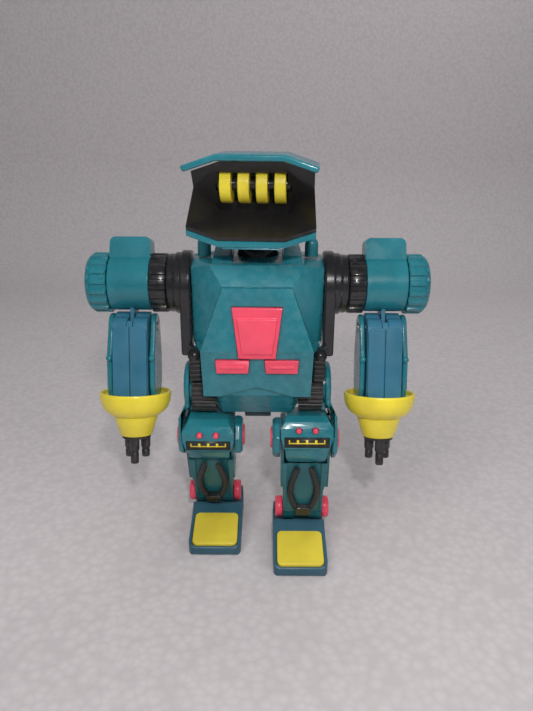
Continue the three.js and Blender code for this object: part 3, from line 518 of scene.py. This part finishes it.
def build_forearm(label, side):
    body = f"forearm_{label}"
    place = FOREARM[label]
    pin_radius, pin_half = 2.2, 10.9
    pin = turned([[ARM_X - pin_half, 0], [ARM_X - pin_half, pin_radius], [ARM_X + pin_half, pin_radius],
                  [ARM_X + pin_half, 0]], sides=SMALL)
    add_piece(f"elbow_pin_{label}_turned", pin, body, "pin_steel", place, side, bevel=0.25,
              stands_for=(f"elbow_pin_{label}",))
    rail_sides = [(-9.5, -12), (-9.5, -26), (-6.4, -32.6), (6.4, -32.6), (9.5, -26), (9.5, -12)]
    rail = arc((0, 0), 5.9, 0, 180, 28) + rail_sides
    for name, x in (("inner", ARM_X - 10.5), ("outer", ARM_X + 8.1)):
        cheek = prism(rail, x, x + 2.4)
        add_piece(f"cheek_{name}_{label}_plate", cheek, body, "teal_plastic", place, side, bevel=0.85,
                  stands_for=(f"cheek_{name}_{label}",), angle=30)
    brow = [(-6.3, 4.3), (-8.4, 3.6), (-10, 2.2), (-11, 0.4)]
    lower = [(-11, -22), (-10.4, -29), (-5.6, -37.6), (5.6, -37.6), (10.4, -29), (11, -22), (11, -11)]
    profile = arc((0, 0), 6.6, 0, 140, 24) + brow + lower
    for name, x0, x1 in (("a", ARM_X - 7.7, ARM_X - SLOT_HALF), ("b", ARM_X + SLOT_HALF, ARM_X + 7.7)):
        half = prism(profile, x0, x1)
        add_piece(f"forearm_core_{label}_{name}", half, body, "blue_plastic", place, side, bevel=0.7,
                  stands_for=(f"forearm_core_{label}",) if name == "a" else (), angle=30)
    slot_floor = [(6.6, 0), (4.7, -3.3), (0, -5.8), (-4.7, -3.3), (-9.3, 2.9), (-10, 2.2)]
    middle = prism([(-11, 0.4)] + lower + slot_floor, ARM_X - SLOT_HALF, ARM_X + SLOT_HALF)
    add_piece(f"forearm_core_{label}_middle", middle, body, "blue_plastic", place, side, bevel=0.3)
    for name, x0, x1 in (("a", ARM_X - 7.4, ARM_X - 0.08), ("b", ARM_X + 0.08, ARM_X + 7.4)):
        rounded = rounded_rectangle(x0, x1, -31, FACE_TOP, 2.6)
        inner = ARM_X - 0.08 if name == "a" else ARM_X + 0.08
        for index, (x, z) in enumerate(rounded):
            if abs(x - inner) < 2.7:
                rounded[index] = (inner, -31 if z < -18 else FACE_TOP)
        face = prism(rounded, -11.9, -10.4, "Y")
        bmesh.ops.remove_doubles(face, verts=face.verts, dist=0.01)
        add_piece(f"forearm_face_{label}_{name}", face, body, "blue_plastic", place, side, bevel=0.45)
    for name, x in (("inner", ARM_X - 9.3), ("outer", ARM_X + 9.3)):
        rivet = turned([[0, 0], [0, 1.5], [0.5, 1.45], [1.0, 1.15], [1.35, 0.6], [1.45, 0]], "Z", sides=SMALL)
        rivet.transform(Matrix.Translation((x, -9.2, -13.6)) @ TO_FRONT)
        add_piece(f"rail_rivet_{name}_{label}", rivet, body, "teal_plastic", place, side, angle=60)
    build_cuff(label, side, body, place)
    build_barrels(label, side)


def build_cuff(label, side, body, place):
    """The open yellow bowl, its stepped nozzle, and the moulding groove down its front."""
    def grooved(along, radius, turn):
        off = abs(math.atan2(math.sin(turn + math.pi), math.cos(turn + math.pi)))
        depth = 0.45 if radius > 10 and along > -39 else 0.25
        return radius - depth * math.exp(-((off * radius / 0.35) ** 2))

    bowl = [[-40.2, 9.2], [-40.2, 10.3], [-39.8, 11.2], [-38.6, 12.8], [-37.4, 14.0], [-35.8, 14.95],
            [-33.6, 15.65], [-31, 16], [-29.9, 16], [-29.5, 15.8], [-29.5, 14.9], [-29.8, 14.6], [-31, 14.5],
            [-31, 0]]
    cup = turned([[-40.2, 0], *bowl], "Z", (ARM_X, 0, 0), 180, grooved)
    add_piece(f"cuff_{label}_bowl", cup, body, "yellow_plastic", place, side, stands_for=(f"cuff_{label}",),
              angle=45)
    nozzle = turned([[-49.5, 0], [-49.5, 6.9], [-49.2, 7.3], [-40.4, 10.0], [-40.1, 9.6], [-40.1, 0]], "Z",
                    (ARM_X, 0, 0), 180, grooved)
    add_piece(f"cuff_{label}_nozzle", nozzle, body, "yellow_plastic", place, side, angle=40)


def build_barrels(label, side):
    body = f"barrels_{label}"
    place = FOREARM[label]
    base = turned([[-50.8, 0], [-50.8, 6.5], [-49.7, 6.5], [-49.7, 0]], "Z", (ARM_X, 0, 0))
    add_piece(f"barrel_base_{label}", base, body, "black_satin", place, side, bevel=0.3,
              stands_for=(f"barrel_cluster_{label}",))
    for index, (angle, tip) in enumerate(((-90, -62), (30, -60.4), (150, -60.4))):
        x = ARM_X + 4.3 * math.cos(math.radians(angle))
        y = 4.3 * math.sin(math.radians(angle))
        barrel = turned([[tip + 1.5, 0], [tip + 1.5, 1.1], [tip, 1.15], [tip + 0.1, 1.5], [tip + 0.5, 1.8],
                         [-57.2, 1.85], [-57, 1.7], [-56.4, 1.7], [-56.2, 1.85], [-55.7, 1.9], [-55.4, 2.15],
                         [-50.2, 2.15], [-50.2, 0]], "Z", (x, y, 0), SMALL)
        add_piece(f"barrel_{label}_{index + 1}", barrel, body, "black_satin", place, side, angle=40)


# ------------------------------------------------------------------- legs

LEG_X = 22.25
SHIN_X = 21.75
THIGH_LENGTH = (on_axis("hip_left") - on_axis("knee_left")).length
SHIN_LENGTH = (on_axis("knee_left") - on_axis("ankle_left")).length
KNEE_TILT = math.radians(14)


def build_thigh(label, side):
    body = f"thigh_{label}"
    place = THIGH[label]
    knee = -THIGH_LENGTH
    disc = turned([[30.9, 0], [30.9, 11], [32.2, 11], [32.9, 10.6], [33.3, 9.8], [33.4, 8.6], [33.3, 6.4],
                   [33.1, 6.0], [33.1, 0]])
    add_piece(f"hip_disc_{label}", disc, body, "teal_plastic", place, side, bevel=0.25,
              stands_for=(f"thigh_frame_{label}",))
    barrel = turned([[18.4, 0], [18.4, 9], [31, 9], [31, 0]])
    add_piece(f"hip_barrel_{label}", barrel, body, "teal_plastic", place, side, bevel=0.4)
    neck = prism([(-3.3, 0), (5.6, 0), (5.6, -9.7), (-3.3, -12)], 19.2, 31.5)
    add_piece(f"thigh_neck_{label}", neck, body, "teal_plastic", place, side, bevel=0.4)
    plate_half = 8.2
    plate_section = [(31, 0), (33.1, 0), (33.4, -8), (36.4, -15), (36.4, knee), (34, knee), (34, -12.6),
                     (31, -9)]
    plate = prism(plate_section, -plate_half, plate_half, "Y")
    add_piece(f"thigh_plate_{label}", plate, body, "teal_plastic", place, side, bevel=1.0)
    outer = turned([[34, 0], [34, 9.6], [35.6, 9.6], [36.7, 8.3], [36.7, 0]], centre=(0, 0, knee), sides=8)
    add_piece(f"knee_disc_outer_{label}", outer, body, "teal_plastic", place, side, bevel=0.8, angle=30)
    inner = turned([[6.9, 0], [6.9, 8.2], [8, 9.4], [10.6, 9.4], [10.6, 0]], centre=(0, 0, knee), sides=8)
    add_piece(f"knee_disc_inner_{label}_octagon", inner, body, "teal_plastic", place, side, bevel=0.7,
              stands_for=(f"knee_disc_inner_{label}",), angle=30)
    axle_profile = [[6, 0], [6, 4.4], [6.5, 5], [6.9, 5], [6.9, 2.6], [36.7, 2.6], [36.7, 5], [37.1, 5],
                    [37.6, 4.4], [37.6, 0]]
    axle = turned(axle_profile, centre=(0, 0, knee))
    add_piece(f"knee_axle_{label}_turned", axle, body, "pink_plastic", place, side,
              stands_for=(f"knee_axle_{label}",), angle=25)
    refined(f"knee_housing_{label}", body, "teal_plastic", 0.9, angle=21)
    build_knee_face(label, side, body, place)
    build_strap(label, side, body, place)


def build_knee_face(label, side, body, place):
    """The two studs and the printed strip on the front of the knee housing."""
    face = place @ Matrix.Translation((0, 0, -THIGH_LENGTH)) @ Matrix.Rotation(KNEE_TILT, 4, "X")
    for index, x in enumerate((-3.7, 3.7)):
        stud = turned([[0, 0], [0, 1.25], [2.8, 1.25], [3.2, 1.1], [3.5, 0.7], [3.6, 0]], "Z", sides=SMALL)
        stud.transform(Matrix.Translation((LEG_X + x, -10.6, 7.2)) @ TO_FRONT)
        add_piece(f"knee_stud_{label}_{index + 1}", stud, body, "pink_plastic", face, side, angle=50,
                  stands_for=(f"knee_studs_{label}",) if index == 0 else ())
    strip = bmesh.new()
    layer = strip.loops.layers.uv.new("UVMap")
    half, low, high, y = 10.1, -0.7, 4.1, -12.66
    corners = ((LEG_X - half, low), (LEG_X + half, low), (LEG_X + half, high), (LEG_X - half, high))
    verts = [strip.verts.new((x, y, z)) for x, z in corners]
    film = strip.faces.new(verts)
    for loop, uv in zip(film.loops, ((0, 0), (1, 0), (1, 1), (0, 1))):
        loop[layer].uv = uv
    piece = add_piece(f"knee_strip_{label}", strip, body, "black_satin", face, side, material=TAPE)
    film_depth = piece.modifiers.new("film", "SOLIDIFY")
    film_depth.thickness = 0.1 * MM
    film_depth.offset = 0


def build_strap(label, side, body, place):
    ribs, start, sweep = 9, 150, 96
    rib_shape = ((0.05, 12.2), (0.2, 12.9), (0.35, 13.0), (0.6, 13.0), (0.75, 12.9), (0.9, 12.2))
    step = sweep / ribs
    outer = []
    for index in range(ribs):
        for share, radius in rib_shape:
            turn = math.radians(start + (index + share) * step)
            outer.append((radius * math.cos(turn), radius * math.sin(turn)))
    inner = arc((0, 0), 9.6, start + sweep, start, 18)
    strap = prism(outer + inner, 18.6, 29.4)
    add_piece(f"thigh_strap_{label}_ribbed", strap, body, "black_satin", place, side, bevel=0.25,
              stands_for=(f"thigh_strap_{label}",), angle=50)


def build_shin(label, side):
    body = f"shin_{label}"
    place = SHIN[label]
    refined(f"shin_shell_{label}", body, "teal_shin", 0.5, angle=26)
    half, front, low = 5.9, -8.7, -35.2
    corners = [(half - 2.6, front - 0.4, -11), (half - 0.6, front - 0.6, -18), (half + 0.2, front, -24),
               (half - 0.8, front, -30), (half - 3.4, front, low)]
    mirrored = [(-x, y, z) for x, y, z in reversed(corners)]
    path = smooth_path([*corners, (0, front, low), *mirrored], 16)
    path = [point + Vector((SHIN_X, 0, 0)) for point in path]
    hose = swept(path, lambda share: 1.42 + 0.13 * math.cos(share * math.pi * 2 * 40))
    add_piece(f"shin_hose_{label}_ribbed", hose, body, "black_satin", place, side,
              stands_for=(f"shin_hose_{label}",), angle=60)
    clamp_outline = rounded_rectangle(SHIN_X - 3.8, SHIN_X + 3.8, low - 2.4, low + 2.2, 0.9)
    clamp = prism(clamp_outline, front - 2.2, -7.2, "Y")
    add_piece(f"hose_clamp_{label}", clamp, body, "black_gloss", place, side, bevel=0.5)
    ankle = -SHIN_LENGTH
    near = [[-13, 0], [-13, 4.4], [-12.8, 4.8], [-12.4, 5.1], [-9.9, 5.1], [-9.6, 4.9], [-9.6, 2]]
    far = [[-x, r] for x, r in reversed(near)]
    axle = turned([[x + SHIN_X, r] for x, r in (*near, *far)], centre=(0, 0, ankle))
    add_piece(f"ankle_axle_{label}_turned", axle, body, "pink_plastic", place, side,
              stands_for=(f"ankle_axle_{label}",), angle=45)


def build_foot(label):
    body = f"foot_{label}"
    refined(f"foot_shell_{label}", body, "foot_blue", 0.7, angle=24)
    refined(f"toe_pad_{label}", body, "pad_yellow", 0.6, angle=30)


build_torso()
build_head()
for label, side in SIDES.items():
    build_arm(label, side)
    build_forearm(label, side)
    build_thigh(label, side)
    build_shin(label, side)
    build_foot(label)

# ------------------------------------------------------ floor and light


def foam(name, colour):
    """Pale moulded bead foam."""
    material = bpy.data.materials.new(name)
    material.use_nodes = True
    nodes = material.node_tree.nodes
    link = material.node_tree.links.new
    shader = nodes["Principled BSDF"]
    shader.inputs["Roughness"].default_value = 0.75
    place = nodes.new("ShaderNodeTexCoord").outputs["Object"]
    beads = nodes.new("ShaderNodeTexVoronoi")
    beads.inputs["Scale"].default_value = 260
    link(place, beads.inputs["Vector"])
    shade = nodes.new("ShaderNodeMapRange")
    shade.inputs["From Max"].default_value = 0.8
    shade.inputs["To Min"].default_value = 1.04
    shade.inputs["To Max"].default_value = 0.9
    link(beads.outputs["Distance"], shade.inputs["Value"])
    tint = nodes.new("ShaderNodeVectorMath")
    tint.operation = "SCALE"
    tint.inputs[0].default_value = colour
    link(shade.outputs["Result"], tint.inputs["Scale"])
    link(tint.outputs["Vector"], shader.inputs["Base Color"])
    bump = nodes.new("ShaderNodeBump")
    bump.inputs["Strength"].default_value = 0.35
    bump.inputs["Distance"].default_value = 0.0006
    bump.invert = True
    link(beads.outputs["Distance"], bump.inputs["Height"])
    link(bump.outputs["Normal"], shader.inputs["Normal"])
    return material


def build_stage():
    """A floor that turns up into a wall behind the figure."""
    wall_y, wall_top, floor_front, corner, width = 0.62, 1.2, -1.4, 0.15, 1.6
    bend_steps = 8
    bend = []
    for step in range(bend_steps + 1):
        turn = step * math.pi / (2 * bend_steps)
        bend.append((wall_y - corner + corner * math.sin(turn), corner - corner * math.cos(turn)))
    side = [(floor_front, 0.0), *bend, (wall_y, wall_top)]
    data = bpy.data.meshes.new("backdrop")
    verts = [(x, y, z) for y, z in side for x in (-width, width)]
    faces = [(2 * i, 2 * i + 1, 2 * i + 3, 2 * i + 2) for i in range(len(side) - 1)]
    data.from_pydata(verts, [], faces)
    data.materials.append(foam("foam_board", (0.62, 0.58, 0.59)))
    data.shade_smooth()
    backdrop = bpy.data.objects.new("backdrop", data)
    bpy.context.scene.collection.objects.link(backdrop)


LARGEST_MIRRORED_LAMP = 0.1  # metres: a larger, softer lamp isn't mirrored in the plastic


def area_light(name, place, target, size, power, colour=(1, 1, 1)):
    light = bpy.data.lights.new(name, "AREA")
    light.shape = "DISK"
    light.size = size
    light.energy = power
    light.color = colour
    lamp = bpy.data.objects.new(name, light)
    lamp.visible_glossy = size < LARGEST_MIRRORED_LAMP
    lamp.location = place
    lamp.rotation_euler = (Vector(target) - Vector(place)).to_track_quat("-Z", "Y").to_euler()
    bpy.context.scene.collection.objects.link(lamp)


def build_lights():
    middle = (0, 0, 0.1)
    area_light("flash", (0.03, -0.31, 0.31), middle, 0.025, 0.6, (1, 0.98, 0.96))
    area_light("key", (-0.35, -0.55, 0.75), middle, 0.5, 2.6)
    area_light("fill", (0.55, -0.45, 0.45), middle, 0.5, 1.1)
    area_light("top", (0.0, -0.02, 0.8), middle, 0.6, 1.2)
    area_light("behind", (0.25, 0.5, 0.6), middle, 0.4, 0.9)
    world = bpy.data.worlds.new("soft_room")
    world.use_nodes = True
    world.node_tree.nodes["Background"].inputs["Color"].default_value = (0.9, 0.92, 1.0, 1)
    world.node_tree.nodes["Background"].inputs["Strength"].default_value = 0.14
    bpy.context.scene.world = world


def build_camera():
    """A phone held a hand's length in front of the figure, a little above it."""
    camera = bpy.data.objects.new("camera", bpy.data.cameras.new("camera"))
    camera.data.lens = 30.4
    camera.data.sensor_width = 36
    camera.data.clip_start = 0.01
    look_down = Matrix.Rotation(math.radians(90 - 21), 4, "X")
    roll = Matrix.Rotation(math.radians(0.35), 4, "Z")
    place = Matrix.Translation((0.004, -0.262 + TORSO.translation.y * MM, 0.190))
    camera.matrix_world = place @ look_down @ roll
    bpy.context.scene.collection.objects.link(camera)
    bpy.context.scene.camera = camera


build_stage()
build_lights()
build_camera()
bpy.context.scene.view_settings.view_transform = "Standard"
